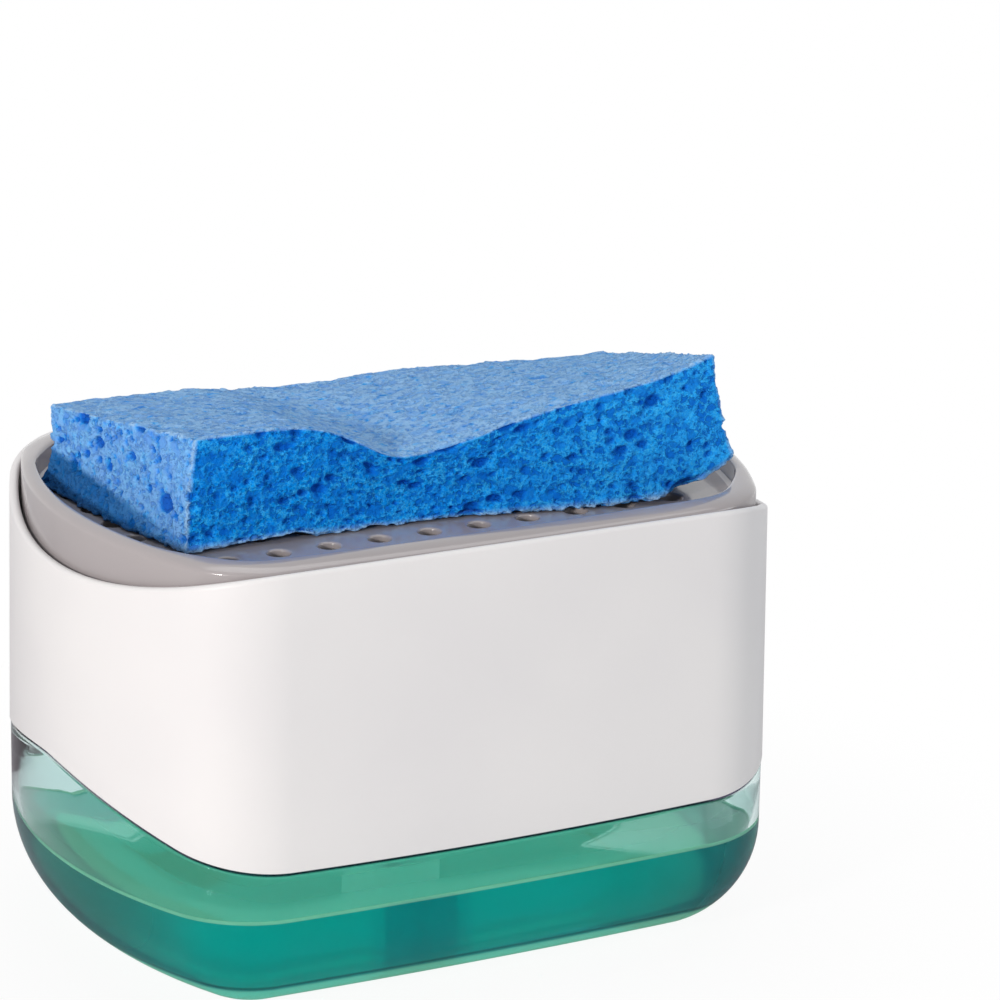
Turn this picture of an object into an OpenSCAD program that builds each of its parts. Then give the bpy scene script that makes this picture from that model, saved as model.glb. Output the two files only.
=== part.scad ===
// Soap pump caddy: a clear soap tank, a white housing that plugs into it, a hand pump, a drain tray
// that is pressed down to pump, and a sponge on the tray. Millimetres, Z up, X along the long side,
// the front faces -Y, and the origin is the middle of the tank's underside.

/* [Body] */
// length over the two bowed ends
body_l = 140; // [124:1:160]
// width over the long sides
body_w = 105; // [96:1:120]
// radius of the four upright corners in plan
corner_r = 21; // [18:0.5:26]
// radius to which each short end is bowed in plan
end_bow_r = 94; // [85:1:140]
// radius to which each long side is bowed in plan
side_bow_r = 980; // [700:10:2000]

/* [Tank] */
// height of the tank that shows under the housing, at the middle of the front
tank_h = 31.6; // [30:0.2:36]
// how far the tank stands back from the housing's face
tank_step = 0.2; // [0.1:0.1:1.5]
// thickness of the tank's side wall
tank_wall = 2.4; // [2:0.1:3]
// thickness of the tank's floor
tank_floor_t = 3; // [2.5:0.1:4]
// how far the rounded bottom edge runs in under the tank
base_round_w = 23.3; // [16:0.1:25]
// how far the rounded bottom edge runs up the side
base_round_h = 21.6; // [16:0.2:23]
// height of the soap above the table
fill_h = 22.4; // [14:0.2:26]

/* [Housing] */
// height of the white housing at the middle of the front
shell_h = 57; // [55:0.5:66]
// thickness of the housing's wall
shell_wall = 1.7; // [1.5:0.1:2.2]
// how much narrower each side is at the top than at the bottom
shell_draft = 0.6; // [0:0.1:1.2]
// how far the top edge dips at the middle of each short end
scoop_top = 9; // [0:0.5:11]
// how far the bottom edge rises at the middle of each short end
scoop_low = 10.4; // [8:0.2:12]
// thickness of the deck that carries the pump
deck_t = 2.4; // [2:0.1:3]

/* [Pump] */
// how far the tray goes down at a full press
press_stroke = 10; // [8:0.5:11]
// bore of the pump cylinder
pump_bore_d = 16; // [15:0.5:18]
// wall of the pump cylinder
pump_wall = 1.5; // [1.2:0.1:2]
// outside diameter of the hollow stem
stem_d = 8; // [7:0.5:9]
// diameter of the inlet ball
ball_d = 5; // [4.5:0.1:5.5]
// how far the inlet ball rises off its seat
ball_lift = 1.9; // [1:0.1:2.5]
// outside diameter of the dip tube
dip_tube_d = 6; // [5:0.2:6.6]
// wire of the return spring
spring_wire_d = 1.1; // [0.8:0.1:1.2]
// middle diameter of the return spring
spring_d = 12; // [11:0.2:13]
// turns of the return spring
spring_turns = 8; // [6:1:9]

/* [Tray] */
// how far the tray's rim stands above the housing's front edge
tray_rise = 0.6; // [0.2:0.1:3]
// clear gap between the tray and the housing
tray_gap = 0.55; // [0.4:0.05:1]
// width of the rounded rim at the short ends
rim_end_w = 2.7; // [2.4:0.1:4]
// width of the rounded rim along the long sides
rim_side_w = 5.3; // [4:0.1:6]
// depth of the dish inside the rim
dish_depth = 4.5; // [4.3:0.1:5]
// thickness of the perforated floor
tray_floor_t = 2; // [1.8:0.1:2.6]
// diameter of a drain hole
drain_d = 4.2; // [3:0.2:5]
// distance between drain holes along a row
drain_pitch = 10.2; // [9:0.2:13]
// distance between rows of drain holes
drain_row_pitch = 9.5; // [8:0.1:12]

/* [Sponge] */
// length of the sponge along the tray
sponge_l = 112; // [92:1:112]
// width of the sponge across the tray
sponge_w = 51; // [40:1:58]
// thickness of the sponge where nothing presses it
sponge_t = 22; // [18:0.5:26]
// how far the sponge lies right of the tray's middle
sponge_x = 1; // [0.6:0.1:2]
// how far its left end lies behind the tray's middle
sponge_y = 2; // [-2:0.1:4]
// how much nearer to the front its right end lies
sponge_bow = 10; // [0:0.2:10]
// depth of the dent that the fingertips leave
dent_depth = 8.7; // [0:0.1:10]
// how far the right end's top edge curls up
curl_top = 6.8; // [0:0.1:8]
// how far the right end's front lifts off the tray
curl_low = 6.5; // [0:0.1:7]

/* [Hidden] */
// overrun of a cut past the face that it opens
over = 0.5;
// facets drawn on true circles
$fn = 72;
// outline points along half a short end, round one corner, and along half a long side
end_steps = 4;
corner_steps = 9;
side_steps = 3;
// outline points in a quarter
quarter_steps = end_steps + corner_steps + side_steps;
// smallest corner radius that an inset outline keeps
least_corner_r = 4;

// Tank: its own small sizes, then the levels that the stack above starts from.
part_gap = 0.7;
foot_w = 5;
foot_h = 0.8;
neck_gap = 0.5;
neck_wall = 2.2;
neck_rise = 4.4;
neck_step_h = 2;
base_steps = 6;
tank_top_z = tank_h + scoop_low + neck_rise;
neck_inset = shell_wall + neck_gap;
neck_inner_inset = neck_inset + neck_wall;
tank_inner_inset = tank_step + tank_wall;

// Housing: seal, deck, locating skirt, lip and the neck that the pump sits on.
seal_t = 1.2;
deck_z = tank_top_z + seal_t;
deck_top_z = deck_z + deck_t;
shell_top_z = tank_h + shell_h;
lip_r = 0.8;
lip_inner_r = 0.5;
edge_r = 0.3;
plug_gap = 0.5;
plug_wall = 1.6;
plug_h = 5;
plug_inset = neck_inner_inset + plug_gap;
plug_inner_inset = plug_inset + plug_wall;
scoop_top_curve_share = 2.1;
scoop_low_curve_share = 1.5;

// Tray levels, from the rim down to the underside of the perforated floor.
rim_z = shell_top_z + tray_rise;
dish_z = rim_z - dish_depth;
tray_floor_z = dish_z - tray_floor_t;

// Pump: the housing's neck and the head's hub share the room that the other pieces and the stroke leave
// between the deck and the tray.
neck_seal_t = 1.2;
flange_t = 1.6;
guide_t = 1.4;
collar_t = 2;
press_clear = 0.8;
head_t = 2.8;
spare_room = tray_floor_z - deck_top_z - neck_seal_t - flange_t - guide_t - collar_t - press_stroke
    - press_clear - head_t;
neck_room_share = 0.6;
neck_h = spare_room * neck_room_share;
hub_h = spare_room - neck_h;

// Pump: bore and wall, then the stack on the neck from the deck up.
pump_r = pump_bore_d / 2;
pump_outer_r = pump_r + pump_wall;
neck_clear = 5;
pump_neck_wall = 2.4;
pump_neck_inner_r = pump_outer_r + neck_clear;
pump_neck_r = pump_neck_inner_r + pump_neck_wall;
pump_neck_top_z = deck_top_z + neck_h;
neck_seal_inset = 0.2;
flange_z = pump_neck_top_z + neck_seal_t;
flange_top_z = flange_z + flange_t;
guide_top_z = flange_top_z + guide_t;
guide_rim = 3;
guide_plug_h = 2.5;
guide_clear = 0.05;
wiper_w = 2.4;
wiper_t = 0.8;
collar_wall = 3.2;
collar_gap = 0.3;
collar_lift = 1;
collar_lap = 1.8;
collar_flutes = 20;
flute_r = 1;
flute_bite_share = 0.5;
collar_r = pump_neck_r + collar_gap + collar_wall;
collar_top_z = guide_top_z + collar_t;

// Plunger: stem, piston and foot hang under the guide, and the spring stands under the foot.
stem_r = stem_d / 2;
stem_wall = 1.6;
running_clear = 0.06;
rest_gap = 0.3;
piston_h = 7;
piston_lip_h = 1.6;
piston_waist = 0.8;
foot_t = 1.4;
foot_rim = 2.6;
piston_top_z = flange_top_z - guide_plug_h - rest_gap;
piston_z = piston_top_z - piston_h;
stem_foot_z = piston_z - foot_t;

// Spring: as long as its wire laid solid, the stroke and a spare.
spring_spare = 5.6;
spring_sides = 6;
spring_rings_a_turn = 8;
spring_len = spring_turns * spring_wire_d + press_stroke + spring_spare;
cage_top_z = stem_foot_z - spring_len;

// Inlet valve: cage, ball chamber, seat at 45 degrees, passage, and the socket of the dip tube.
cage_t = 1.2;
cage_clear = 0.1;
cage_slots = 3;
cage_slot_r = 1;
cage_hole_r = 1.2;
cage_slot_ring_share = 0.4;
ball_r = ball_d / 2;
ball_gap = 0.07;
ball_stop_gap = 0.15;
chamber_clear = 0.9;
passage_r = 1.5;
passage_h = 0.8;
socket_h = 6.5;
socket_wall = 1.6;
tube_wall = 1.1;
tube_clear = 2;
chamber_r = ball_r + chamber_clear;
chamber_top_z = cage_top_z - cage_t;
ball_z = chamber_top_z - ball_stop_gap - ball_lift - ball_r;
seat_z = ball_z - (ball_r + ball_gap) * sqrt(2) + passage_r;
socket_top_z = seat_z - passage_h;
socket_z = socket_top_z - socket_h;
dip_tube_r = dip_tube_d / 2;
socket_r = max(chamber_r, dip_tube_r) + socket_wall;
dip_tube_z = tank_floor_t + tube_clear;
soap_clear = 0.6;

// Tray: its skirt and rim, then the ribs and the socket under its floor.
tray_inset = shell_draft + shell_wall + tray_gap;
rim_widen_start_share = 0.6;
rim_widen_end_share = 0.88;
skirt_wall = 2;
skirt_clear = 8;
skirt_z = deck_top_z + press_stroke + skirt_clear;
rim_round = 1.4;
rim_round_in = 0.7;
floor_lap = 0.8;
ledge_drop = 0.3;
dish_slope = 0.3;
rib_t = 1.6;
rib_h = 4;
rib_bite = 1;
drain_rows = 4;
drain_columns = 6;
drain_edge = 3;
socket_lap = 0.5;
head_gap = 0.4;
head_socket_wall = 1.8;

// Pump head under the tray's middle, with the outlet well, valve and nozzle.
head_r = 13;
hub_wall = 2.5;
head_z = tray_floor_z - head_t;
hub_z = head_z - hub_h;
well_h = 1.6;
well_r = 4.2;
well_z = tray_floor_z - well_h;
stem_stop = 0.9;
stem_top_z = well_z - stem_stop;
outlet_r = 1.6;
valve_t = 0.6;
valve_clear = 0.1;
valve_slit = 3;
valve_slit_w = 0.2;
nozzle_r = 3.8;
nozzle_bore_r = 1.3;
nozzle_mouth_r = 2.4;
nozzle_mouth_h = 0.7;
nozzle_rim_r = 6;
nozzle_rim_t = 1;
nozzle_clear = 0.1;
nozzle_valve_gap = 0.2;
drain_keep_r = head_r + head_gap + head_socket_wall + drain_d / 2;

// Sponge: places of the dent and curls along it, how it thins towards its back, and how its ends lean.
sponge_seat = 0.3;
sponge_edge_r = 2;
sponge_stations = 24;
dent_x = -9;
dent_left_w = 13.5;
dent_right_w = 24;
curl_x = 12;
curl_low_x = 25;
curl_top_power_share = 2;
curl_low_power_share = 3;
bow_x = -12;
back_thin = 6.3;
back_dent_share = 0.2;
sponge_skew = 3;
lean_left = 2;
lean_right = 5.5;
back_lean_share = 0.3;
side_pinch = 0.9;

// Point at distance r and angle a from centre c.
function polar(c, r, a) = c + r * [cos(a), sin(a)];

// Corner radius of the outline when all of it is inset by k.
function corner_at(k) = max(corner_r - k, least_corner_r);

// Centre of the corner arc that touches the end arc about e and the side arc about s from inside.
function corner_centre(s, rs, e, re) =
    let (v = e - s, d = norm(v), u = v / d, x = (d * d + rs * rs - re * re) / (2 * d))
    s + u * x + [u[1], -u[0]] * sqrt(rs * rs - x * x);

// Quarter of the outline inset by k, from the middle of the right end to the middle of the back.
function quarter(k) =
    let (rc = corner_at(k),
        side_c = [0, body_w / 2 - side_bow_r],
        end_c = [body_l / 2 - end_bow_r, 0],
        c = corner_centre(side_c, side_bow_r - k - rc, end_c, end_bow_r - k - rc),
        a_end = atan2(c[1] - end_c[1], c[0] - end_c[0]),
        a_side = atan2(c[1] - side_c[1], c[0] - side_c[0]))
    concat(
        [for (i = [0 : end_steps - 1]) polar(end_c, end_bow_r - k, a_end * i / end_steps)],
        [for (i = [0 : corner_steps - 1]) polar(c, rc, a_end + (a_side - a_end) * i / corner_steps)],
        [for (i = [0 : side_steps]) polar(side_c, side_bow_r - k, a_side + (90 - a_side) * i / side_steps)]);

// Whole outline inset by k, anticlockwise from the middle of the right end.
function outline(k) =
    let (q = quarter(k), n = quarter_steps)
    concat(
        [for (i = [0 : n - 1]) q[i]],
        [for (i = [n : -1 : 1]) [-q[i][0], q[i][1]]],
        [for (i = [0 : n - 1]) -q[i]],
        [for (i = [n : -1 : 1]) [q[i][0], -q[i][1]]]);

// Circle of radius r with the outline's point count, its points facing the outline's.
function ring_circle(r) = [for (p = outline(0)) r * p / norm(p)];

// Flat ring of a closed curve at height z.
function level(pts, z) = [for (p = pts) [p[0], p[1], z]];

// How far along the half width a point of the outline inset by k lies.
function across(p, k) = min(1, abs(p[1]) / (body_w / 2 - k));

// Ring inset by k that follows the housing's scooped bottom edge, dz above it.
function low_ring(k, dz) = [for (p = outline(k))
    [p[0], p[1], tank_h + dz + scoop_low * (1 - pow(across(p, k), scoop_low_curve_share))]];

// Ring inset by k that follows the housing's scooped top edge, dz above it.
function top_ring(k, dz) = [for (p = outline(k))
    [p[0], p[1], shell_top_z + dz - scoop_top * (1 - pow(across(p, k), scoop_top_curve_share))]];

// Outline of the dish, drawn in by e from the rim's inner edge: the rim is narrow at the ends, wide along
// the sides, and widens smoothly round the corners.
function dish_outline(e) =
    let (a = outline(tray_inset + rim_end_w + e), b = outline(tray_inset + rim_side_w + e))
    [for (i = [0 : len(a) - 1])
        let (t = (across(a[i], tray_inset + rim_end_w + e) - rim_widen_start_share)
                / (rim_widen_end_share - rim_widen_start_share),
            s = min(1, max(0, t)))
        a[i] + (b[i] - a[i]) * s * s * (3 - 2 * s)];

// Ring on a quarter ellipse that rounds a tub's bottom edge: a runs from 0 under it to 90 at its side.
function base_ring(k, w, h, z, a) = level(outline(k + w * (1 - sin(a))), z + h * (1 - cos(a)));

// Solid through rings of equal count. Open lofts are closed by their first and last rings, and round
// lofts join the last ring to the first.
module loft(rings, round = false) {
    n = len(rings[0]);
    m = len(rings);
    spans = round ? m : m - 1;
    walls = [for (i = [0 : spans - 1], j = [0 : n - 1], t = [0, 1])
        let (a = i * n + j, b = i * n + (j + 1) % n, c = ((i + 1) % m) * n + (j + 1) % n,
            d = ((i + 1) % m) * n + j)
        t == 0 ? [a, c, b] : [a, d, c]];
    ends = round ? [] : [[for (j = [0 : n - 1]) j], [for (j = [0 : n - 1]) (m - 1) * n + (n - j) % n]];
    polyhedron([for (r = rings, p = r) p], concat(walls, ends), convexity = 6);
}

// Tube along a helix about Z: one ring of the wire for each step, closed at both ends.
function spring_point(i) =
    let (s = i / (spring_turns * spring_rings_a_turn), a = 360 * i / spring_rings_a_turn)
    [spring_d / 2 * cos(a), spring_d / 2 * sin(a),
        cage_top_z + spring_wire_d / 2 + s * (spring_len - spring_wire_d)];
function spring_ring(i) =
    let (a = 360 * i / spring_rings_a_turn, c = spring_point(i))
    [for (j = [0 : spring_sides - 1])
        c + spring_wire_d / 2 * (cos(360 * j / spring_sides) * [cos(a), sin(a), 0]
            + [0, 0, sin(360 * j / spring_sides)])];

// Least gap between turns, measured on points a turn or more apart.
spring_points = [for (i = [0 : spring_turns * spring_rings_a_turn]) spring_point(i)];
spring_gap = min([for (i = [0 : len(spring_points) - 1 - spring_rings_a_turn],
    j = [i + spring_rings_a_turn : len(spring_points) - 1])
    norm(spring_points[i] - spring_points[j])]) - spring_wire_d;
echo(least_gap_of_spring_to_itself_mm = spring_gap);

// Clear tub: rounded base on a shallow foot, flush side, and a neck that the housing fits over.
module tank() {
    color([0.75, 0.92, 0.88, 0.4])
    loft(concat(
        [level(outline(tank_step + base_round_w + foot_w + foot_h), foot_h),
            level(outline(tank_step + base_round_w + foot_w), 0)],
        [for (i = [0 : base_steps])
            base_ring(tank_step, base_round_w, base_round_h, 0, 90 * i / base_steps)],
        [low_ring(tank_step, -part_gap),
            low_ring(neck_inset, -part_gap),
            level(outline(neck_inset), tank_top_z),
            level(outline(neck_inner_inset), tank_top_z),
            low_ring(neck_inner_inset, -part_gap - neck_step_h),
            low_ring(tank_inner_inset, -part_gap - neck_step_h - tank_wall)],
        [for (i = [base_steps : -1 : 0])
            base_ring(tank_inner_inset, base_round_w - tank_wall, base_round_h - tank_floor_t,
                tank_floor_t, 90 * i / base_steps)]));
}

// Soap that fills the tub to its level, with a channel where the pump hangs in it.
module soap_fill() {
    color([0.1, 0.62, 0.5, 0.8])
    loft(concat(
        [for (i = [0 : base_steps])
            let (a = 90 * i / base_steps, w = base_round_w - tank_wall, h = base_round_h - tank_floor_t,
                z = tank_floor_t + h * (1 - cos(a)))
            if (z < fill_h - over) base_ring(tank_inner_inset, w, h, tank_floor_t, a)],
        [level(outline(fill_inset()), fill_h),
            level(ring_circle(pump_outer_r + soap_clear), fill_h),
            level(ring_circle(pump_outer_r + soap_clear), tank_floor_t + tube_clear / 2)]));
}

// Inset of the tub's inner wall at the soap's level.
function fill_inset() =
    let (h = base_round_h - tank_floor_t, up = min(fill_h - tank_floor_t, h))
    tank_inner_inset + (base_round_w - tank_wall) * (1 - sqrt(1 - pow(1 - up / h, 2)));

// White housing in one moulding: scooped wall, deck, pump neck, and a skirt that plugs into the tank.
module shell() {
    color([0.94, 0.93, 0.93])
    loft([
        low_ring(0, edge_r),
        top_ring(shell_draft, -lip_r),
        top_ring(shell_draft + lip_r * (1 - cos(45)), -lip_r * (1 - sin(45))),
        top_ring(shell_draft + lip_r, 0),
        top_ring(shell_draft + shell_wall - lip_inner_r, 0),
        top_ring(shell_draft + shell_wall, -lip_inner_r),
        level(outline(shell_wall), deck_top_z),
        level(ring_circle(pump_neck_r), deck_top_z),
        level(ring_circle(pump_neck_r), pump_neck_top_z),
        level(ring_circle(pump_neck_inner_r), pump_neck_top_z),
        level(ring_circle(pump_neck_inner_r), deck_z),
        level(outline(plug_inner_inset), deck_z),
        level(outline(plug_inner_inset), deck_z - plug_h),
        level(outline(plug_inset), deck_z - plug_h),
        level(outline(plug_inset), deck_z),
        level(outline(shell_wall), deck_z),
        low_ring(shell_wall, 0),
        low_ring(edge_r, 0)], round = true);
}

// Flat rubber ring on the tank's neck, inside the housing's wall and outside its locating skirt.
module deck_seal() {
    color([0.35, 0.36, 0.38])
    translate([0, 0, tank_top_z])
    linear_extrude(seal_t)
    difference() {
        polygon(outline(neck_inset));
        polygon(outline(neck_inner_inset));
    }
}

// Pump body: flange, true bore, ball chamber, seat, passage and the socket of the dip tube.
module pump_cylinder() {
    color([0.92, 0.94, 0.95])
    rotate_extrude()
    polygon([
        [pump_r, flange_top_z],
        [pump_neck_r - neck_seal_inset, flange_top_z],
        [pump_neck_r - neck_seal_inset, flange_z],
        [pump_outer_r, flange_z],
        [pump_outer_r, chamber_top_z],
        [socket_r, chamber_top_z - pump_outer_r + socket_r],
        [socket_r, socket_z],
        [dip_tube_r, socket_z],
        [dip_tube_r, socket_top_z],
        [passage_r, socket_top_z],
        [passage_r, seat_z],
        [chamber_r, seat_z + chamber_r - passage_r],
        [chamber_r, chamber_top_z],
        [pump_r, chamber_top_z]]);
}

// Flat ring between the housing's neck and the pump's flange.
module neck_seal() {
    color([0.3, 0.3, 0.32])
    translate([0, 0, pump_neck_top_z])
    difference() {
        cylinder(h = neck_seal_t, r = pump_neck_r - neck_seal_inset);
        translate([0, 0, -over])
            cylinder(h = neck_seal_t + 2 * over, r = pump_neck_inner_r + neck_seal_inset);
    }
}

// Locking ring round the neck, with finger flutes and a lip over the stem guide.
module collar() {
    hole_r = pump_r + guide_rim - collar_lap;
    skirt_z0 = deck_top_z + collar_lift;
    color([0.9, 0.9, 0.91])
    difference() {
        translate([0, 0, skirt_z0])
            cylinder(h = collar_top_z - skirt_z0, r = collar_r);
        translate([0, 0, skirt_z0 - over])
            cylinder(h = guide_top_z - skirt_z0 + over, r = pump_neck_r + collar_gap);
        translate([0, 0, skirt_z0])
            cylinder(h = collar_top_z - skirt_z0 + over, r = hole_r);
        for (i = [0 : collar_flutes - 1])
            rotate(360 * i / collar_flutes)
            translate([collar_r + flute_r * (1 - flute_bite_share), 0, skirt_z0 - over])
                cylinder(h = collar_top_z - skirt_z0 + 2 * over, r = flute_r);
    }
}

// Guide ring under the collar: a rim on the flange, a plug in the bore and a seat for the wiper.
module stem_guide() {
    color([0.86, 0.88, 0.9])
    rotate_extrude()
    polygon([
        [stem_r + running_clear, flange_top_z - guide_plug_h],
        [pump_r - guide_clear, flange_top_z - guide_plug_h],
        [pump_r - guide_clear, flange_top_z],
        [pump_r + guide_rim, flange_top_z],
        [pump_r + guide_rim, guide_top_z],
        [stem_r + wiper_w, guide_top_z],
        [stem_r + wiper_w, guide_top_z - wiper_t],
        [stem_r + running_clear, guide_top_z - wiper_t]]);
}

// Ring seal that wipes the stem, in the guide's seat.
module stem_wiper() {
    color([0.25, 0.26, 0.28])
    translate([0, 0, guide_top_z - wiper_t])
    difference() {
        cylinder(h = wiper_t, r = stem_r + wiper_w);
        translate([0, 0, -over])
            cylinder(h = wiper_t + 2 * over, r = stem_r + running_clear);
    }
}

// Hollow rod with a foot that holds the piston, open at both ends.
module stem() {
    color([0.95, 0.95, 0.93])
    difference() {
        union() {
            translate([0, 0, stem_foot_z])
                cylinder(h = stem_top_z - stem_foot_z, r = stem_r);
            translate([0, 0, stem_foot_z])
                cylinder(h = foot_t, r = stem_r + foot_rim);
        }
        translate([0, 0, stem_foot_z - over])
            cylinder(h = stem_top_z - stem_foot_z + 2 * over, r = stem_r - stem_wall);
    }
}

// Piston: a sleeve on the stem with two sealing lips that run in the bore.
module piston() {
    lip_outer_r = pump_r - running_clear;
    color([0.8, 0.84, 0.86])
    rotate_extrude()
    polygon([
        [stem_r, piston_z],
        [lip_outer_r - piston_waist, piston_z],
        [lip_outer_r, piston_z + piston_lip_h / 2],
        [lip_outer_r, piston_z + piston_lip_h],
        [lip_outer_r - piston_waist, piston_z + 2 * piston_lip_h],
        [lip_outer_r - piston_waist, piston_top_z - 2 * piston_lip_h],
        [lip_outer_r, piston_top_z - piston_lip_h],
        [lip_outer_r, piston_top_z - piston_lip_h / 2],
        [lip_outer_r - piston_waist, piston_top_z],
        [stem_r, piston_top_z]]);
}

// Return spring between the ball cage and the stem's foot, one unbroken coil.
module return_spring() {
    color([0.7, 0.72, 0.75])
    loft([for (i = [spring_turns * spring_rings_a_turn : -1 : 0]) spring_ring(i)]);
}

// Disc that keeps the ball in its chamber and carries the spring, with holes for the flow.
module ball_cage() {
    color([0.88, 0.9, 0.9])
    translate([0, 0, chamber_top_z])
    difference() {
        cylinder(h = cage_t, r = pump_r - cage_clear);
        translate([0, 0, -over])
            cylinder(h = cage_t + 2 * over, r = cage_hole_r);
        for (i = [0 : cage_slots - 1])
            rotate(360 * i / cage_slots)
            translate([cage_slot_ring_share * pump_r, 0, -over])
                cylinder(h = cage_t + 2 * over, r = cage_slot_r);
    }
}

// Inlet check ball, just clear of its seat.
module inlet_ball() {
    color([0.75, 0.77, 0.8])
    translate([0, 0, ball_z])
        sphere(r = ball_r);
}

// Suction tube pressed into the socket, ending just above the tank's floor.
module dip_tube() {
    color([0.93, 0.95, 0.95])
    translate([0, 0, dip_tube_z])
    difference() {
        cylinder(h = socket_top_z - dip_tube_z, r = dip_tube_r);
        translate([0, 0, -over])
            cylinder(h = socket_top_z - dip_tube_z + 2 * over, r = dip_tube_r - tube_wall);
    }
}

// Head pressed onto the stem: hub, disc that the tray stands on, and the outlet well.
module pump_head() {
    color([0.85, 0.86, 0.87])
    rotate_extrude()
    polygon([
        [stem_r, hub_z],
        [stem_r + hub_wall, hub_z],
        [stem_r + hub_wall, head_z],
        [head_r, head_z],
        [head_r, tray_floor_z],
        [well_r, tray_floor_z],
        [well_r, well_z],
        [outlet_r, well_z],
        [outlet_r, stem_top_z],
        [stem_r, stem_top_z]]);
}

// Silicone disc with a crossed slit, in the bottom of the outlet well.
module outlet_valve() {
    color([0.95, 0.85, 0.8])
    translate([0, 0, well_z])
    difference() {
        cylinder(h = valve_t, r = well_r - valve_clear);
        for (a = [0, 90])
            rotate(a)
            translate([-valve_slit / 2, -valve_slit_w / 2, -over])
                cube([valve_slit, valve_slit_w, valve_t + 2 * over]);
    }
}

// Outlet plug in the middle of the tray, flush with its floor, with a flared mouth.
module nozzle() {
    spigot_z = well_z + valve_t + nozzle_valve_gap;
    color([0.55, 0.55, 0.56])
    rotate_extrude()
    polygon([
        [nozzle_bore_r, spigot_z],
        [nozzle_r, spigot_z],
        [nozzle_r, dish_z - nozzle_rim_t],
        [nozzle_rim_r, dish_z - nozzle_rim_t],
        [nozzle_rim_r, dish_z],
        [nozzle_mouth_r, dish_z],
        [nozzle_bore_r, dish_z - nozzle_mouth_h]]);
}

// Half length of the outline inset by k at a given y, and its half width at a given x.
function reach_x(y, k) = body_l / 2 - end_bow_r + sqrt(pow(end_bow_r - k, 2) - y * y);
function reach_y(x, k) = body_w / 2 - side_bow_r + sqrt(pow(side_bow_r - k, 2) - x * x);

// Is a drain hole at p clear of the head's socket in the middle and of the dish's rounded corners?
function drains_at(p) =
    let (k_end = tray_inset + rim_end_w + dish_slope, k = tray_inset + rim_side_w + dish_slope,
        q = [body_l / 2 - corner_r, body_w / 2 - corner_r],
        v = [max(0, abs(p[0]) - q[0]), max(0, abs(p[1]) - q[1])], edge = drain_d / 2 + drain_edge)
    norm(p) > drain_keep_r && norm(v) < corner_r - k - edge
        && abs(p[0]) < reach_x(p[1], k_end + edge) && abs(p[1]) < reach_y(p[0], k + edge);

// Drain tray in one moulding: rounded rim, dish, skirt, perforated floor, and ribs and a socket below.
module press_plate() {
    rib_y = drain_row_pitch * 3 / 2;
    rib_x = drain_pitch * 2;
    skirt_inset = tray_inset + skirt_wall;
    color([0.62, 0.61, 0.63])
    union() {
        loft([
            level(outline(tray_inset), skirt_z),
            level(outline(tray_inset), rim_z - rim_round),
            level(outline(tray_inset + rim_round * (1 - cos(35))), rim_z - rim_round * (1 - sin(35))),
            level(outline(tray_inset + rim_round * (1 - cos(65))), rim_z - rim_round * (1 - sin(65))),
            level(outline(tray_inset + rim_round), rim_z),
            level(dish_outline(-rim_round_in), rim_z),
            level(dish_outline(-rim_round_in * (1 - sin(45))), rim_z - rim_round_in * (1 - cos(45))),
            level(dish_outline(0), rim_z - rim_round_in),
            level(dish_outline(dish_slope), dish_z),
            level(dish_outline(dish_slope), tray_floor_z - ledge_drop),
            level(outline(skirt_inset), tray_floor_z - ledge_drop),
            level(outline(skirt_inset), skirt_z)], round = true);
        translate([0, 0, tray_floor_z])
        linear_extrude(tray_floor_t - nozzle_rim_t)
        difference() {
            polygon(dish_outline(dish_slope - floor_lap));
            drains();
            circle(r = nozzle_r + nozzle_clear);
        }
        translate([0, 0, dish_z - nozzle_rim_t])
        linear_extrude(nozzle_rim_t)
        difference() {
            polygon(dish_outline(dish_slope - floor_lap));
            drains();
            circle(r = nozzle_rim_r + nozzle_clear);
        }
        translate([0, 0, head_z - socket_lap])
        difference() {
            cylinder(h = tray_floor_z - head_z + socket_lap + tray_floor_t / 2,
                r = head_r + head_gap + head_socket_wall);
            translate([0, 0, -over])
                cylinder(h = tray_floor_z - head_z + socket_lap + over, r = head_r + head_gap);
            cylinder(h = tray_floor_z - head_z + socket_lap + tray_floor_t + over,
                r = nozzle_rim_r + nozzle_clear + over);
        }
        for (s = [-1, 1]) {
            translate([-reach_x(rib_y, skirt_inset - rib_bite), s * rib_y - rib_t / 2, tray_floor_z - rib_h])
                cube([2 * reach_x(rib_y, skirt_inset - rib_bite), rib_t, rib_h + tray_floor_t / 4]);
            translate([s * rib_x - rib_t / 2, -reach_y(rib_x, skirt_inset - rib_bite), tray_floor_z - rib_h])
                cube([rib_t, 2 * reach_y(rib_x, skirt_inset - rib_bite), rib_h + tray_floor_t / 4]);
        }
    }
}

// Pattern of drain holes in columns half a pitch off the middle and rows on it.
module drains() {
    for (s = [-1, 1], i = [0 : drain_columns - 1], j = [-drain_rows : drain_rows])
        let (p = [s * (i + 1 / 2) * drain_pitch, j * drain_row_pitch])
        if (drains_at(p))
            translate(p)
            circle(d = drain_d);
}

// Sponge: height of its top edge above the tray at its front and at its back, of its underside at the
// front, and how far its middle line lies behind the tray's.
function along(x, start) = max(0, x - start) / (sponge_x + sponge_l / 2 - start);
function sponge_dent(x) = dent_depth * exp(-pow((x - dent_x) / (x < dent_x ? dent_left_w : dent_right_w), 2));
function sponge_front(x) = sponge_t - sponge_dent(x) + curl_top * pow(along(x, curl_x), curl_top_power_share);
function sponge_back(x) = sponge_t - back_thin - back_dent_share * sponge_dent(x);
function sponge_low(x) = curl_low * pow(along(x, curl_low_x), curl_low_power_share);
function sponge_mid(x) = let (t = along(x, bow_x)) sponge_y - sponge_bow * t * t * (3 - 2 * t);

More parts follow.
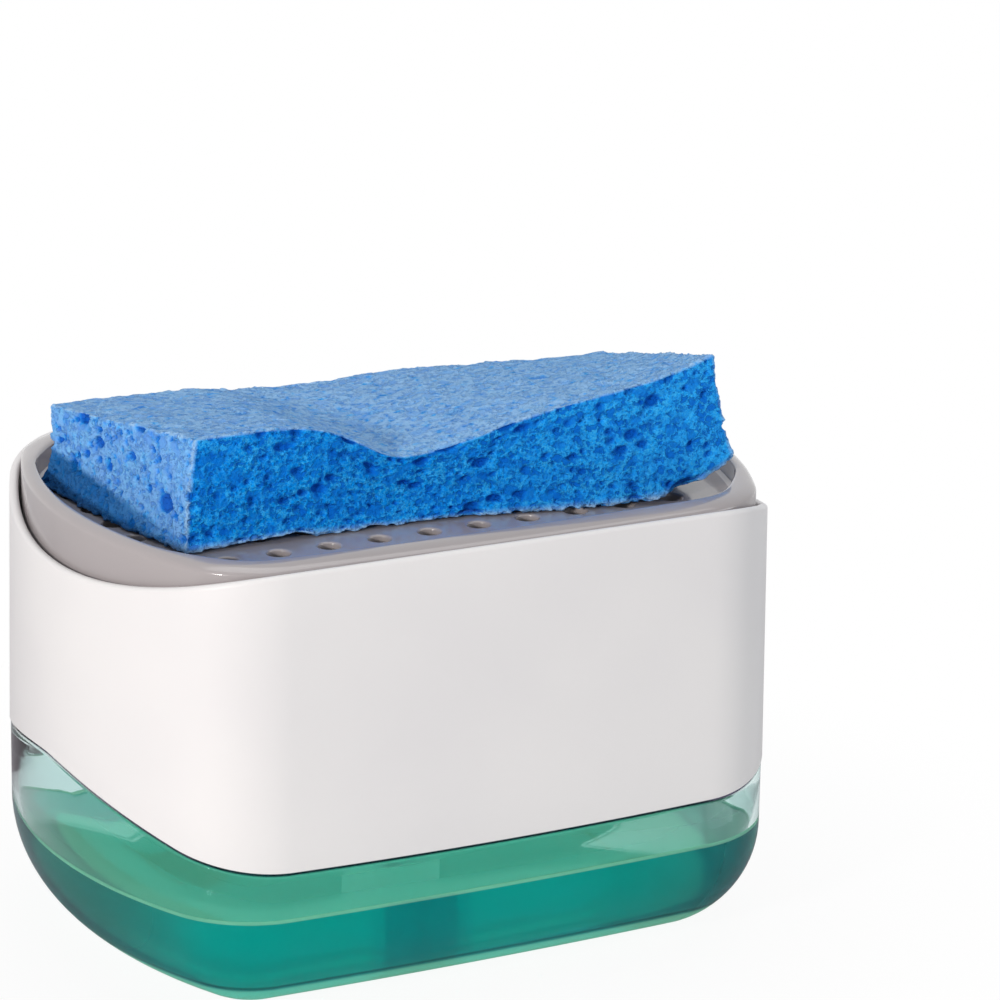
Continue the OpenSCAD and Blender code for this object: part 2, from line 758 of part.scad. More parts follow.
// Point of the sponge at x along it, v across it (-1 front, 1 back) and h up it (0 under, 1 on top).
function sponge_point(x, v, h) =
    let (s = (x - sponge_x) / (sponge_l / 2), back = (v + 1) / 2,
        lean = (s < 0 ? lean_left : lean_right) * (1 - (1 - back_lean_share) * back),
        top = sponge_front(x) + (sponge_back(x) - sponge_front(x)) * back,
        low = sponge_low(x) * (1 - back))
    [x - s * abs(s) * lean * h - sponge_skew * v * (1 - s) / 2,
        sponge_mid(x) + v * (sponge_w / 2 - side_pinch * sin(180 * h)),
        dish_z + sponge_seat + low + (top - low) * h];

// Ring round the sponge at x, drawn in by e all round, anticlockwise seen from the right.
function sponge_ring(x, e) =
    let (v1 = 1 - e / (sponge_w / 2), h0 = e / sponge_t, h1 = 1 - h0, r = sponge_edge_r,
        dv = r / (sponge_w / 2), dh = r / sponge_t)
    [for (q = concat(
        [for (h = [h0 + dh : (h1 - h0 - 2 * dh) / 3 : h1 - dh + dh / 9]) [v1, h]],
        [for (i = [5 : -1 : -5]) [(v1 - dv) * i / 5, h1]],
        [for (h = [h1 - dh : -(h1 - h0 - 2 * dh) / 3 : h0 + dh - dh / 9]) [-v1, h]],
        [for (i = [-3 : 3]) [(v1 - dv) * i / 3, h0]]))
        sponge_point(x, q[0], q[1])];

// Sponge, dented by the fingers and thinner towards its back, with its right end curled up.
module sponge() {
    x0 = sponge_x - sponge_l / 2;
    x1 = sponge_x + sponge_l / 2;
    r = sponge_edge_r;
    color([0.15, 0.5, 0.85])
    loft(concat(
        [sponge_ring(x0, r)],
        [for (i = [0 : sponge_stations]) sponge_ring(x0 + r / 2 + (sponge_l - r) * i / sponge_stations, 0)],
        [sponge_ring(x1, r)]));
}

tank();
soap_fill();
shell();
deck_seal();
pump_cylinder();
neck_seal();
collar();
stem_guide();
stem_wiper();
stem();
piston();
return_spring();
ball_cage();
inlet_ball();
dip_tube();
pump_head();
outlet_valve();
nozzle();
press_plate();
sponge();
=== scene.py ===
import bpy
import math
import numpy as np
from mathutils import Matrix, Vector


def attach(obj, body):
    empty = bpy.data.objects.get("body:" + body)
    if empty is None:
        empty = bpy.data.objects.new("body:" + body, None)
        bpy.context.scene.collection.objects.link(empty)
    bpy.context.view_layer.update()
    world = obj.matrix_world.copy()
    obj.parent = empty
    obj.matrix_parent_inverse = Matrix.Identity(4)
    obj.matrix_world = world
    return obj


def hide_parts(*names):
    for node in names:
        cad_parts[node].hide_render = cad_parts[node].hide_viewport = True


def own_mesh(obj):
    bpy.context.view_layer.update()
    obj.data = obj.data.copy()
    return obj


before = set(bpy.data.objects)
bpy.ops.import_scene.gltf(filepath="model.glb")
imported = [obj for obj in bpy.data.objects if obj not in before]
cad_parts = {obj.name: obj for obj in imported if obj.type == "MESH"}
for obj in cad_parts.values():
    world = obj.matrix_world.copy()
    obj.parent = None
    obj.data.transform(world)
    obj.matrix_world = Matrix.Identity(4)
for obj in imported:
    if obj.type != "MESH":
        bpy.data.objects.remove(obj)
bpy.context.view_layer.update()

# ---- Camera ------------------------------------------------------------------------------------
# A long lens, left of the front and above, with the slight tilt the picture was taken at. Angles turn it
# about the frame's middle, and it aims a little to the right of and above that. Lens and sensor are mm.
camera_turn = math.radians(-26.3645)
camera_rise = math.radians(22.2489)
camera_tilt = math.radians(0.9889)
camera_distance = 0.933112
camera_aim_right = 0.022435
camera_aim_up = 0.078668
camera_lens = 171.545
camera_sensor = 36

sky = Vector((0, 0, 1))
back = Vector((math.sin(camera_turn) * math.cos(camera_rise),
               -math.cos(camera_turn) * math.cos(camera_rise), math.sin(camera_rise)))
eye = back * camera_distance
aim_side = (-back).cross(sky).normalized()
aim = aim_side * camera_aim_right + aim_side.cross(-back) * camera_aim_up
look = (aim - eye).normalized()
level_right = look.cross(sky).normalized()
level_up = level_right.cross(look)
frame_right = level_right * math.cos(camera_tilt) + level_up * math.sin(camera_tilt)
frame_up = level_up * math.cos(camera_tilt) - level_right * math.sin(camera_tilt)
camera = bpy.data.objects.new("camera", bpy.data.cameras.new("camera"))
camera.data.lens = camera_lens
camera.data.sensor_width = camera_sensor
camera.matrix_world = Matrix.Translation(eye) @ Matrix((frame_right, frame_up, -look)).transposed().to_4x4()
bpy.context.scene.collection.objects.link(camera)
bpy.context.scene.camera = camera
bpy.context.scene.view_settings.view_transform = "Standard"

# ---- Tank --------------------------------------------------------------------------------------
# Clear, faintly green tub, injection moulded: a big soft bottom edge with a painted pale green glow for
# the light it gathers, a side flush with the housing, and a thinner neck that the housing fits over. A
# thin dark line of painted shade runs where its floor begins, painted shade darkens the seam under the
# housing, and a shallow rim under the floor stands on the table.
body_l = 140.0
body_w = 105.0
corner_r = 21.0
least_corner_r = 4.0
end_bow_r = 94.0
side_bow_r = 980.0
tank_h = 31.6
tank_step = 0.2
tank_wall = 2.4
tank_floor = 3.0
base_w = 23.3
base_h = 21.6
foot_w = 5.0
foot_h = 0.8
part_gap = 0.45
neck_inset = 2.2
neck_wall = 2.2
neck_top = 46.4
neck_step = 2.0
tank_edge = 0.5
scoop_low = 10.4
scoop_low_power = 1.5


def body_plan(inset, ends=12, corners=26, sides=14):
    """Outline of the body drawn in by inset, anticlockwise from the right end: in each quarter a wide
    arc for the end, a tight arc for the corner and a nearly straight arc for the side, each touching
    the next."""
    rc = max(corner_r - inset, least_corner_r)
    end_c = np.array([body_l / 2 - end_bow_r, 0.0])
    side_c = np.array([0.0, body_w / 2 - side_bow_r])
    end_r = end_bow_r - inset - rc
    side_r = side_bow_r - inset - rc
    apart = math.hypot(*(end_c - side_c))
    along = (end_c - side_c) / apart
    aside = np.array([along[1], -along[0]])
    foot = (apart ** 2 + side_r ** 2 - end_r ** 2) / (2 * apart)
    corner_c = side_c + along * foot + aside * math.sqrt(side_r ** 2 - foot ** 2)
    end_turn = math.atan2(corner_c[1] - end_c[1], corner_c[0] - end_c[0])
    side_turn = math.atan2(corner_c[1] - side_c[1], corner_c[0] - side_c[0])
    arcs = ((end_c, end_bow_r - inset, 0.0, end_turn, ends),
            (corner_c, rc, end_turn, side_turn, corners),
            (side_c, side_bow_r - inset, side_turn, math.pi / 2, sides))
    quarter = []
    for centre, radius, start, stop, steps in arcs:
        turn = start + (stop - start) * np.arange(steps) / steps
        quarter.append(centre + radius * np.stack([np.cos(turn), np.sin(turn)], 1))
    quarter = np.concatenate(quarter + [[[0.0, body_w / 2 - inset]]])
    rest = quarter[:0:-1]
    return np.concatenate([quarter[:-1], rest * [-1, 1], -quarter[:-1], rest * [1, -1]])


def ring(plan, height):
    """Plan points raised to a height, which may be one number or one for each point."""
    return np.column_stack([plan, np.broadcast_to(height, len(plan))])


def scooped(inset, height, depth, power):
    """Body outline on an edge that runs level along the sides and changes by depth towards the middle of
    each end: height + depth * (1 - share ** power), share being how far across the half width it is."""
    plan = body_plan(inset)
    share = np.minimum(1, np.abs(plan[:, 1]) / (body_w / 2 - inset))
    return ring(plan, height + depth * (1 - share ** power))


def low_ring(inset, rise):
    """Ring along the parting line of tank and housing, rise above it."""
    return scooped(inset, tank_h + rise, scoop_low, scoop_low_power)


def base_ring(inset, width, height, floor, turn):
    """Ring on the tub's rounded bottom edge: a quarter ellipse, turn 0 under it and a right angle at
    its side."""
    return ring(body_plan(inset + width * (1 - math.sin(turn))), floor + height * (1 - math.cos(turn)))


def loft(rings, around=False, caps=False):
    """Points and faces of a skin through rings of one point count: quad (i, j) joins points j and j + 1
    of rings i and i + 1. around also joins the last ring to the first, caps closes both ends."""
    count, n = len(rings), len(rings[0])
    i, j = np.meshgrid(np.arange(count if around else count - 1), np.arange(n), indexing="ij")
    i2, j2 = (i + 1) % count, (j + 1) % n
    quads = np.stack([i * n + j, i * n + j2, i2 * n + j2, i2 * n + j], -1).reshape(-1, 4).tolist()
    if caps:
        quads += [list(range(n))[::-1], list(range((count - 1) * n, count * n))]
    return np.concatenate(rings), quads


def put_piece(name, skins, body, nodes, sharp=40):
    """One object from skins of points in millimetres and faces, smooth but for edges over sharp degrees;
    it rides on its body and stands for its CAD nodes."""
    points, faces, start = [], [], 0
    for some_points, some_faces in skins:
        points.append(some_points)
        faces += [[start + k for k in face] for face in some_faces]
        start += len(some_points)
    mesh = bpy.data.meshes.new(name)
    mesh.from_pydata(np.concatenate(points) * 0.001, [], faces)
    mesh.polygons.foreach_set("use_smooth", np.ones(len(mesh.polygons), bool))
    mesh.set_sharp_from_angle(angle=math.radians(sharp))
    mesh.validate()
    piece = bpy.data.objects.new(name, mesh)
    bpy.context.scene.collection.objects.link(piece)
    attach(piece, body)
    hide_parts(*nodes)
    return piece


class Wire:
    """A shader socket that Python arithmetic can use. Values add Math nodes, and anything with a vector
    or a colour in it adds Vector Math nodes."""

    def __init__(self, nodes, socket):
        self.nodes = nodes
        self.socket = socket

    def maths(self, operation, first, second):
        """The operation on two values, or on two vectors or colours."""
        value = all(k.socket.type == "VALUE" for k in (first, second) if isinstance(k, Wire))
        kind = "ShaderNodeMath" if value and not isinstance(second, tuple) else "ShaderNodeVectorMath"
        return self.nodes.node(kind, {"operation": operation}, {0: first, 1: second})

    def __add__(self, other):
        return self.maths("ADD", self, other)

    def __radd__(self, other):
        return self.maths("ADD", self, other)

    def __sub__(self, other):
        return self.maths("SUBTRACT", self, other)

    def __rsub__(self, other):
        return self.maths("SUBTRACT", other, self)

    def __mul__(self, other):
        return self.maths("MULTIPLY", self, other)

    def __rmul__(self, other):
        return self.maths("MULTIPLY", self, other)

    def __abs__(self):
        return self.nodes.node("ShaderNodeMath", {"operation": "ABSOLUTE"}, {0: self})

    def __or__(self, other):
        return self.maths("MAXIMUM", self, other)

    __ror__ = __or__


def seen(red, green, blue):
    """The colour a shader takes for one as it is seen on a screen, 0 to 255 a channel."""
    share = np.array([red, green, blue]) / 255
    return tuple(np.where(share < 0.04045, share / 12.92, ((share + 0.055) / 1.055) ** 2.4).tolist())


class Nodes:
    """A node tree that is emptied and filled again, node by node."""

    def __init__(self, tree):
        self.tree = tree
        self.tree.nodes.clear()

    def put(self, socket, value):
        """Links a wire to the socket, or sets the socket's own value."""
        if isinstance(value, Wire):
            self.tree.links.new(value.socket, socket)
        elif socket.type == "RGBA":
            socket.default_value = (*value[:3], 1)
        elif socket.type == "VECTOR" and not isinstance(value, tuple):
            socket.default_value = (value,) * 3
        else:
            socket.default_value = value

    def node(self, kind, settings=None, sockets=None, out=0):
        """A node of one kind, its settings first and then its sockets' values or links."""
        made = self.tree.nodes.new(kind)
        for key, value in (settings or {}).items():
            setattr(made, key, value)
        for key, value in (sockets or {}).items():
            self.put(made.inputs[key], value)
        return Wire(self, made.outputs[out]) if made.outputs else made

    def rays(self, *kinds):
        """1 for rays of the given kinds, such as those from the camera or off gloss."""
        share = 0
        for kind in kinds:
            share = share | self.node("ShaderNodeLightPath", None, None, "Is %s Ray" % kind)
        return share


class Finish(Nodes):
    """A procedural material: one Principled shader, with its fixed settings on its own sockets."""

    def __init__(self, name, **fixed):
        self.material = bpy.data.materials.new(name)
        self.material.use_nodes = True
        super().__init__(self.material.node_tree)
        self.shader = self.tree.nodes.new("ShaderNodeBsdfPrincipled")
        self.plain = Wire(self, self.shader.outputs[0])
        self.out = self.node("ShaderNodeOutputMaterial", None, {"Surface": self.plain})
        self.feed(**fixed)
        self.place = self.node("ShaderNodeTexCoord", out="Object")

    def feed(self, **sockets):
        """Values or links for the shader's sockets, spaces in their names written as underscores."""
        for key, value in sockets.items():
            self.put(self.shader.inputs[key.replace("_", " ")], value)

    def share(self, name):
        """A value kept at each point of the mesh."""
        return self.node("ShaderNodeAttribute", {"attribute_name": name}, None, "Fac")

    def blend(self, share, first, second):
        """The first colour where share is 0, the second where it is 1, and a mix between."""
        return self.node("ShaderNodeMix", {"data_type": "RGBA"}, {0: share, 6: first, 7: second}, 2)

    def along(self, axis):
        """Place along x, y or z, in millimetres."""
        return 1000 * self.node("ShaderNodeSeparateXYZ", None, {0: self.place}, "xyz".index(axis))

    def fade(self, value, low, high):
        """0 below low, 1 above high, and smooth between."""
        return self.node("ShaderNodeMapRange", {"interpolation_type": "SMOOTHSTEP"},
                         {"Value": value, "From Min": low, "From Max": high})

    def clouds(self, size, detail=3.0, place=None, out=0):
        """Soft noise whose patches are about size millimetres."""
        return self.node("ShaderNodeTexNoise", None,
                         {"Vector": place or self.place, "Scale": 1000 / size, "Detail": detail}, out)

    def bump(self, height, depth, strength=1.0):
        """Normal for a surface raised by up to depth millimetres."""
        self.feed(Normal=self.node("ShaderNodeBump", None,
                                   {"Strength": strength, "Distance": depth / 1000, "Height": height}))


def keep_share(piece, name, values):
    """Keeps a value at each point of the piece's mesh for its material; fewer values than points are one
    for each ring of a loft."""
    values = np.repeat(values, len(piece.data.vertices) // len(values))
    piece.data.attributes.new(name, "FLOAT", "POINT").data.foreach_set("value", values)


def tank_skin():
    """Outside from the foot up, over the neck, and down the inside, as one closed lathe-like skin. Also
    gives each ring's share of the painted shade along the seam under the housing."""
    quarter = np.linspace(0, math.pi / 2, 25)
    inner = tank_step + tank_wall
    under = tank_step + base_w
    round_edge = [low_ring(tank_step + tank_edge * (1 - math.cos(a)),
                           -part_gap - tank_edge * (1 - math.sin(a))) for a in quarter[::6]]
    outside = [ring(body_plan(under + foot_w + foot_h), foot_h), ring(body_plan(under + foot_w), 0)]
    outside += [base_ring(tank_step, base_w, base_h, 0, a) for a in quarter]
    neck = [low_ring(neck_inset, -part_gap), ring(body_plan(neck_inset), neck_top),
            ring(body_plan(neck_inset + neck_wall), neck_top)]
    inside = [low_ring(neck_inset + neck_wall, -part_gap - neck_step),
              low_ring(inner, -part_gap - neck_step - tank_wall)]
    inside += [base_ring(inner, base_w - tank_wall, base_h - tank_floor, tank_floor, a)
               for a in quarter[::-1]]
    # Share of painted shade along the seam, ring by ring.
    painted_seam_shade = [0] * len(outside) + [0, 0, 0.4, 1, 1] + [1, 0, 0] + [0] * len(inside)
    return loft(outside + round_edge + neck + inside, caps=True), painted_seam_shade


tank_clear = seen(216, 235, 234)
tank_clearer = seen(222, 239, 238)
# Painted shade of the thin line, painted glow of the bottom edge, and painted shade of the seam.
tank_painted_line_shade = seen(90, 100, 105)
tank_painted_glow_green = seen(165, 238, 184)
tank_painted_seam_shade = seen(28, 24, 40)
# Heights over which the painted dark line comes and goes, and over which the bottom edge's painted glow ends.
painted_line_heights = (7.1, 7.4, 7.7, 8.2)
painted_glow_heights = (6.3, 7.2)

clear_plastic = Finish("clear_tank_plastic", Transmission_Weight=1.0, IOR=1.47, Roughness=0.015,
                       Specular_Tint=(0.2, 0.2, 0.2))
tank_up = clear_plastic.along("z")
# A thin dark line of painted shade low in the tub.
painted_floor_line_shade = clear_plastic.fade(tank_up, *painted_line_heights[:2]) * (1 - clear_plastic.fade(tank_up, *painted_line_heights[2:]))
# Painted glow along the bottom edge, given off as emission.
painted_edge_glow = 1 - clear_plastic.fade(tank_up, *painted_glow_heights)
tank_tint = clear_plastic.blend(clear_plastic.clouds(30), tank_clear, tank_clearer)
tank_tint = clear_plastic.blend(painted_floor_line_shade * 0.8, tank_tint, tank_painted_line_shade)
# Painted shade along the seam under the housing.
tank_tint = clear_plastic.blend(clear_plastic.share("painted_seam_shade"), tank_tint, tank_painted_seam_shade)
clear_plastic.feed(Base_Color=tank_tint, Emission_Strength=0.2,
                   Emission_Color=clear_plastic.blend(painted_edge_glow, (0.0, 0.0, 0.0), tank_painted_glow_green))
clear_plastic.bump(clear_plastic.clouds(14, 1.0), 0.04, 0.3)

tank_mesh, tank_seam_shade = tank_skin()
tank = put_piece("tank_tub", [tank_mesh], "tank", ["tank"])
tank.data.materials.append(clear_plastic.material)
keep_share(tank, "painted_seam_shade", tank_seam_shade)

# ---- Soap --------------------------------------------------------------------------------------
# Liquid soap, level, wetting the tub's wall so that its edge climbs a little, with a channel where
# the pump hangs in it. It reaches a hair into the wall, so that no air shows between the two. It is
# cloudy, with a painted glow for the light it scatters, painted shade that dulls it towards its two
# ends, and a painted highlight that makes its top and wetted edge pale.
fill_h = 22.4
soap_climb = 0.55
soap_level = fill_h - soap_climb
soap_wet = 0.12
pump_channel_r = 10.1
channel_floor = 4.0


def circle_plan(radius, plan):
    """Circle with a point facing each point of an outline."""
    return radius * plan / np.linalg.norm(plan, axis=1, keepdims=True)


def fill_inset(height):
    """How far the tub's inner wall stands in at a height, from its quarter ellipse."""
    share = 1 - min(1.0, (height - tank_floor) / (base_h - tank_floor))
    return tank_step + tank_wall + (base_w - tank_wall) * (1 - math.sqrt(1 - share ** 2))


def soap_skin():
    """Under side out along the tub's floor, up its wall, over the wetted edge, and in to the channel."""
    heights = tank_floor + (soap_level - tank_floor) * (np.linspace(0, 1, 25) ** 1.6)
    wall = [ring(body_plan(fill_inset(z) - soap_wet), z - soap_wet) for z in heights]
    turns = np.linspace(0, math.pi / 2, 7)
    edge_in = fill_inset(fill_h)
    climb = [ring(body_plan(edge_in - soap_wet + soap_climb * (1 - math.cos(a))),
                  soap_level + soap_climb * (1 - math.sin(a))) for a in turns]
    plan = body_plan(0)
    top = [ring(circle_plan(pump_channel_r, plan), soap_level),
           ring(circle_plan(pump_channel_r, plan), channel_floor)]
    return loft(wall + climb + top, caps=True)


soap_deep = seen(0, 166, 166)
soap_bright = seen(0, 174, 172)
# Painted shade for the soap's ends, and a painted highlight for its top and wetted edge.
soap_painted_shade = seen(78, 98, 110)
soap_painted_highlight = seen(190, 240, 205)
# Painted glow, given off as emission: plain, dulled at the ends by painted shade, and pale at the painted
# highlight.
painted_glow_teal = seen(0, 152, 162)
painted_glow_shaded = seen(28, 66, 80)
painted_glow_highlight = seen(104, 192, 188)
# Places along the tank over which painted shade dulls the soap.
soap_shade_left = (-67, -56)
soap_shade_right = (28, 62)
soap_highlight_blur = 0.2

# Its emission is a painted glow.
soap = Finish("blue_green_soap", Roughness=0.03, IOR=1.36, Transmission_Weight=0.6,
              Specular_Tint=(0.1, 0.1, 0.1), Emission_Strength=0.12)
soap_along = soap.along("x")
# Painted shade towards both ends of the tank.
ends = soap.fade(soap_along, *soap_shade_right) | (1 - soap.fade(soap_along, *soap_shade_left))
# Painted highlight on the soap's top and wetted edge.
painted_top_highlight = soap.fade(soap.along("z"), soap_level - soap_highlight_blur, soap_level)
soap_tone = soap.blend(soap.fade(soap.clouds(40, 1.0), 0.3, 0.7), soap_deep, soap_bright)
soap_tone = soap.blend(ends * 0.6, soap_tone, soap_painted_shade)
soap_painted_glow = soap.blend(ends, painted_glow_teal, painted_glow_shaded)
soap.feed(Base_Color=soap.blend(painted_top_highlight, soap_tone, soap_painted_highlight),
          Emission_Color=soap.blend(painted_top_highlight, soap_painted_glow, painted_glow_highlight))

soap_piece = put_piece("soap_liquid", [soap_skin()], "tank", ["soap_fill"])
soap_piece.data.materials.append(soap.material)

# ---- Housing -----------------------------------------------------------------------------------
# Matte white moulding: a thin wall with a rounded lip, scooped at the top and bottom of both ends,
# a deck with the pump's neck inside, and a skirt under the deck that plugs into the tank. Painted
# shade darkens its bottom edge along the seam over the tank.
shell_h = 57.0
shell_wall = 1.7
shell_draft = 0.6
scoop_top = 9.0
scoop_top_power = 2.1
lip_r = 0.8
low_edge_r = 0.35
deck_low = 47.6
deck_top = 50.0
pump_neck_top = 57.74
pump_neck_r = 16.9
pump_neck_in_r = 14.5
plug_inset = 4.9
plug_wall = 1.6
plug_h = 5.0
shell_top = tank_h + shell_h


def top_ring(inset, rise):
    """Ring along the housing's scooped mouth, rise above it."""
    return scooped(inset, shell_top + rise, -scoop_top, scoop_top_power)


def housing_skin():
    """Up the outside in small steps, over the rounded lip, down inside to the deck, over the neck, under
    the deck, round the skirt, and back to the bottom edge. Also gives each ring's share of the painted
    shade along the seam over the tank."""
    turns = np.linspace(0, math.pi / 2, 7)
    low = [low_ring(low_edge_r * (1 - math.sin(a)), low_edge_r * (1 - math.cos(a))) for a in turns]
    bottom, top = low_ring(0, low_edge_r), top_ring(shell_draft, -lip_r)
    side = [bottom + (top - bottom) * k for k in np.linspace(0, 1, 9)[1:-1]]
    lip = [top_ring(shell_draft + lip_r * (1 - math.cos(a)), -lip_r * (1 - math.sin(a))) for a in turns]
    lip += [top_ring(shell_draft + shell_wall - lip_r * (1 - math.sin(a)), -lip_r * (1 - math.cos(a)))
            for a in turns[1:]]
    plan = body_plan(0)
    inside = [ring(body_plan(shell_wall), deck_top),
              ring(circle_plan(pump_neck_r, plan), deck_top),
              ring(circle_plan(pump_neck_r, plan), pump_neck_top),
              ring(circle_plan(pump_neck_in_r, plan), pump_neck_top),
              ring(circle_plan(pump_neck_in_r, plan), deck_low),
              ring(body_plan(plug_inset + plug_wall), deck_low),
              ring(body_plan(plug_inset + plug_wall), deck_low - plug_h),
              ring(body_plan(plug_inset), deck_low - plug_h),
              ring(body_plan(plug_inset), deck_low),
              ring(body_plan(shell_wall), deck_low),
              low_ring(shell_wall, 0)]
    rings = low + side + lip + inside
    # Share of painted shade along the seam, ring by ring.
    painted_seam_shade = [1, 1, 0.7, 0.3] + [0] * (len(rings) - 5) + [1]
    return loft(rings, around=True), painted_seam_shade


housing_white = seen(229, 228, 229)
housing_whiter = seen(234, 233, 233)
# Painted shade along the seam over the tank.
housing_painted_seam_shade = seen(40, 35, 52)

white_plastic = Finish("satin_white_plastic", IOR=1.48)
white_cloud = white_plastic.fade(white_plastic.clouds(55, 2.0), 0.3, 0.7)
white_tone = white_plastic.blend(white_cloud, housing_white, housing_whiter)
# Its bottom edge along the seam takes the painted shade.
white_plastic.feed(
    Base_Color=white_plastic.blend(white_plastic.share("painted_seam_shade"), white_tone, housing_painted_seam_shade),
    Roughness=0.42 + 0.08 * white_plastic.clouds(6))
white_plastic.bump(white_plastic.clouds(0.35, 2.0), 0.012, 0.35)

housing_mesh, housing_seam_shade = housing_skin()
housing = put_piece("housing", [housing_mesh], "housing", ["shell"])
housing.data.materials.append(white_plastic.material)
keep_share(housing, "painted_seam_shade", housing_seam_shade)

# ---- Pump --------------------------------------------------------------------------------------
# The pump under the tray: moulded body, guide, stem, piston and head, rubber seals and a steel ball
# keep their CAD shapes. The coiled steel spring is made anew.
spring_low = 24.98
spring_high = 49.3
spring_r = 6.0
spring_wire_r = 0.55
spring_turns = 8
spring_turn_steps = 40
spring_wire_sides = 14
spring_end_turns = 0.6
spring_end_pitch = 1.14


def moulded(name, dark, light, rough, grain=0.4, **fixed):
    """Moulded plastic or rubber: slow colour drift, uneven gloss and a fine grain."""
    finish = Finish(name, **fixed)
    finish.feed(Base_Color=finish.blend(finish.clouds(8), dark, light),
                Roughness=rough - 0.06 + 0.12 * finish.clouds(3))
    finish.bump(finish.clouds(grain, 3.0), 0.02, 0.4)
    return finish.material


def steel(name, dark, light, rough):
    """Stainless steel with fine drawing or polishing marks along one way."""
    finish = Finish(name, Metallic=1.0)
    drawn = finish.node("ShaderNodeMapping", None, {"Vector": finish.place, "Scale": (1.0, 1.0, 12.0)})
    marks = finish.clouds(1.2, 4.0, drawn)
    finish.feed(Base_Color=finish.blend(marks, dark, light), Roughness=rough + 0.1 * marks)
    finish.bump(marks, 0.004, 0.3)
    return finish.material


milky = moulded("milky_plastic", seen(222, 226, 224), seen(234, 237, 236), 0.36, Subsurface_Weight=0.15,
                Subsurface_Scale=0.002)
pump_white = moulded("pump_white_plastic", seen(226, 226, 226), seen(236, 236, 236), 0.3)
waxy = moulded("waxy_piston_plastic", seen(186, 200, 208), seen(200, 212, 220), 0.33)
rubber = moulded("dark_seal_rubber", seen(44, 44, 47), seen(58, 58, 62), 0.62, 0.25)
silicone = moulded("pale_silicone", seen(232, 218, 208), seen(240, 228, 220), 0.45)
nozzle_grey = moulded("nozzle_grey_plastic", seen(128, 128, 131), seen(142, 142, 146), 0.25)
wire_steel = steel("drawn_spring_steel", seen(150, 152, 156), seen(196, 198, 202), 0.26)
ball_steel = steel("polished_ball_steel", seen(190, 192, 196), seen(214, 216, 220), 0.07)

pump_finishes = {
    "deck_seal": rubber, "neck_seal": rubber, "stem_wiper": rubber,
    "pump_cylinder": milky, "stem_guide": milky, "ball_cage": milky, "dip_tube": milky,
    "collar": pump_white, "stem": pump_white, "pump_head": pump_white,
    "piston": waxy, "inlet_ball": ball_steel, "outlet_valve": silicone, "nozzle": nozzle_grey}
for node_name, material in pump_finishes.items():
    node_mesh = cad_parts[node_name].data
    node_mesh.materials.clear()
    node_mesh.materials.append(material)


def spring_skin():
    """Round wire wound round the z axis. Its height rises by the end pitch each turn, and the rest of the
    spring's height is shared out over the turns between its close ends."""
    turn = np.linspace(0, spring_turns, spring_turns * spring_turn_steps + 1)
    opening = np.cumsum(np.clip(np.minimum(turn, spring_turns - turn) - spring_end_turns, 0, 1))
    spare = spring_high - spring_low - 2 * spring_wire_r - spring_end_pitch * spring_turns
    height = spring_low + spring_wire_r + spring_end_pitch * turn + spare * opening / opening[-1]
    angle = 2 * math.pi * turn[:, None]
    around = np.linspace(0, 2 * math.pi, spring_wire_sides, endpoint=False)
    reach_out = spring_r + spring_wire_r * np.cos(around)
    wire = np.stack([reach_out * np.cos(angle), reach_out * np.sin(angle),
                     height[:, None] + spring_wire_r * np.sin(around)], -1)
    return loft(list(wire[::-1]), caps=True)


spring = put_piece("spring_coil", [spring_skin()], "housing", ["return_spring"], 80)
spring.data.materials.append(wire_steel)
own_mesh(spring)

# ---- Drain tray --------------------------------------------------------------------------------
# Glossy grey moulding: a raised rounded rim, a shallow dish with rows of round drain holes, a skirt
# that slides in the housing, and ribs and a socket below that stand on the pump's head.
rim_top = 89.2
tray_inset = 2.85
rim_end_w = 2.7
rim_side_w = 5.3
rim_widen_from = 0.6
rim_widen_to = 0.88
rim_crown = 1.6
rim_crown_in = 0.6
rim_peak = 0.8
dish_top = 84.7
dish_slope = 0.3
floor_low = 82.7
floor_lap = 0.8
floor_bite = 0.2
cove_slope_share = 0.4
cove_top = 0.6
cove_w = 0.3
cove_h = 0.08
rim_lap = 0.8
rim_sink = 0.05
skirt_low = 68.0
skirt_wall = 2.0
ledge = 0.3
drain_r = 2.1
drain_edge_r = 0.45
drain_points = 28
drain_pitch = 10.2
drain_row_pitch = 9.5
drain_columns = 6
drain_rows = 4
drain_margin = 3.0
middle_keep_r = 17.3
nozzle_seat_r = 6.1
rib_t = 1.6
rib_low = 78.7
rib_rows = 1.5
rib_columns = 2
rib_bite = 1.0
socket_in_r = 13.4
socket_out_r = 15.2
socket_low = 79.4
socket_points = 96


def dish_plan(into):
    """Outline of the dish, drawn in by into from the rim's inner edge: the rim is narrow at the ends, wide
    along the sides, and widens smoothly round the corners."""
    end_in = tray_inset + rim_end_w + into
    end_plan = body_plan(end_in)
    share = np.minimum(1, np.abs(end_plan[:, 1]) / (body_w / 2 - end_in))
    way = np.clip((share - rim_widen_from) / (rim_widen_to - rim_widen_from), 0, 1)
    way = (way * way * (3 - 2 * way))[:, None]
    return end_plan * (1 - way) + body_plan(tray_inset + rim_side_w + into) * way


def reach(across_it, bow_r, half, inset):
    """Half size of the inset outline at a distance across it, on the arc that bows its end or side."""
    return half - bow_r + np.sqrt((bow_r - inset) ** 2 - across_it ** 2)


